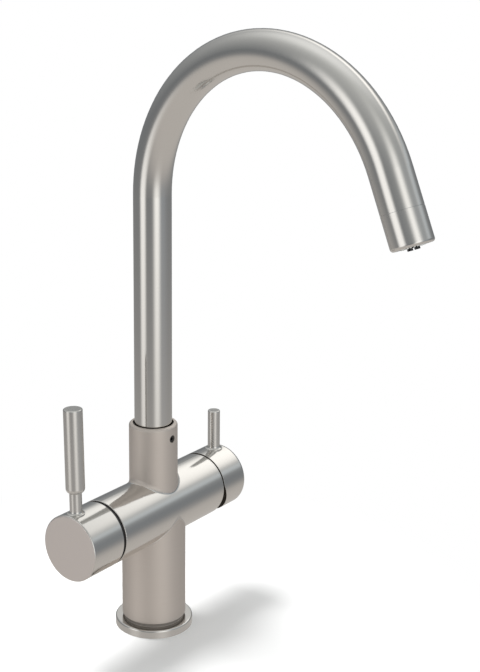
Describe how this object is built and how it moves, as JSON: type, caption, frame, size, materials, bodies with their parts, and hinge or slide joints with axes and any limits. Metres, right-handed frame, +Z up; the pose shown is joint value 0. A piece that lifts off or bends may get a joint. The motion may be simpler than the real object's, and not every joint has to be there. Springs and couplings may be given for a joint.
{
  "type": "five-way kitchen tap",
  "caption": "Kitchen tap with a tall swivel spout, a tilting mixer handle for hot and cold, and a turning selector lever for filtered waters kept apart to the nozzle.",
  "frame": {"origin": "middle of the base flange's underside, on the spout's swivel axis", "axes": "+Z up, -Y the way that the spout points over the sink, +X towards the mixer handle"},
  "size_m": [0.1604, 0.2405, 0.4063],
  "materials": {
    "brushed_nickel": "brushed",
    "black_rubber": "matte",
    "black_plastic": "matte",
    "white_plastic": "satin",
    "tube_plastic": "satin",
    "ceramic": "polished",
    "raw_brass": "machined",
    "plain_steel": "machined",
    "dark_steel": "machined"
  },
  "bodies": {
    "tap": {"tap_body": "brushed_nickel", "base_flange": "brushed_nickel", "base_seal": "black_rubber", "spout_lock_screw": "dark_steel", "selector_cartridge_base": "black_plastic", "selector_port_seals": "black_rubber", "selector_fixed_disc": "ceramic", "selector_housing": "black_plastic", "selector_retaining_nut": "raw_brass", "selector_glide_ring": "black_plastic", "mixer_cartridge_base": "black_plastic", "mixer_port_seals": "black_rubber", "mixer_fixed_disc": "ceramic", "mixer_housing": "black_plastic", "mixer_retaining_nut": "raw_brass", "mixer_dome_cover": "black_plastic", "mixer_trim_ring": "brushed_nickel"},
    "spout": {"spout_tube": "brushed_nickel", "spout_foot": "raw_brass", "spout_slide_ring_upper": "black_plastic", "spout_slide_ring_lower": "black_plastic", "spout_seal_upper": "black_rubber", "spout_seal_lower": "black_rubber", "filtered_water_tube": "tube_plastic", "filtered_tube_plug": "raw_brass", "filtered_tube_seal": "black_rubber", "nozzle_adapter": "plain_steel", "nozzle_collar": "brushed_nickel", "aerator_seal": "black_rubber", "aerator_housing": "white_plastic", "aerator_screen": "plain_steel", "filtered_outlet": "black_plastic"},
    "selector": {"selector_moving_disc": "ceramic", "selector_spindle": "raw_brass", "selector_spindle_seal": "black_rubber", "selector_cap": "brushed_nickel", "selector_cap_screw": "dark_steel", "selector_lever": "brushed_nickel"},
    "mixer_sleeve": {"mixer_turning_sleeve": "white_plastic", "mixer_sleeve_seal": "black_rubber", "mixer_pivot_pin": "plain_steel"},
    "mixer_handle": {"mixer_spindle": "plain_steel", "mixer_cap": "brushed_nickel", "mixer_cap_screw": "dark_steel", "mixer_lever": "brushed_nickel"},
    "mixer_disc": {"mixer_moving_disc": "ceramic", "mixer_disc_carrier": "white_plastic"}
  },
  "joints": [
    {"name": "spout_swivel", "type": "hinge", "parent": "tap", "child": "spout", "pos_m": [0, 0, 0.125], "axis": [0, 0, 1], "range_deg": [-52.2, 67.8]},
    {"name": "selector_turn", "type": "hinge", "parent": "tap", "child": "selector", "pos_m": [-0.068, 0, 0.0824], "axis": [1, 0, 0], "range_deg": [-43.7, 91.3]},
    {"name": "mixer_turn", "type": "hinge", "parent": "tap", "child": "mixer_sleeve", "pos_m": [0.0422, 0, 0.0824], "axis": [1, 0, 0], "range_deg": [-45, 45]},
    {"name": "mixer_lift", "type": "hinge", "parent": "mixer_sleeve", "child": "mixer_handle", "pos_m": [0.0422, 0, 0.0824], "axis": [0, 1, 0], "range_deg": [0, 18]},
    {"name": "mixer_disc_slide", "type": "slide", "parent": "mixer_sleeve", "child": "mixer_disc", "axis": [0, 0, 1], "range_m": [0, 0.00283]}
  ],
  "couplings": [
    {"joint": "mixer_disc_slide", "follows": "mixer_lift", "m_per_rad": 0.009}
  ]
}
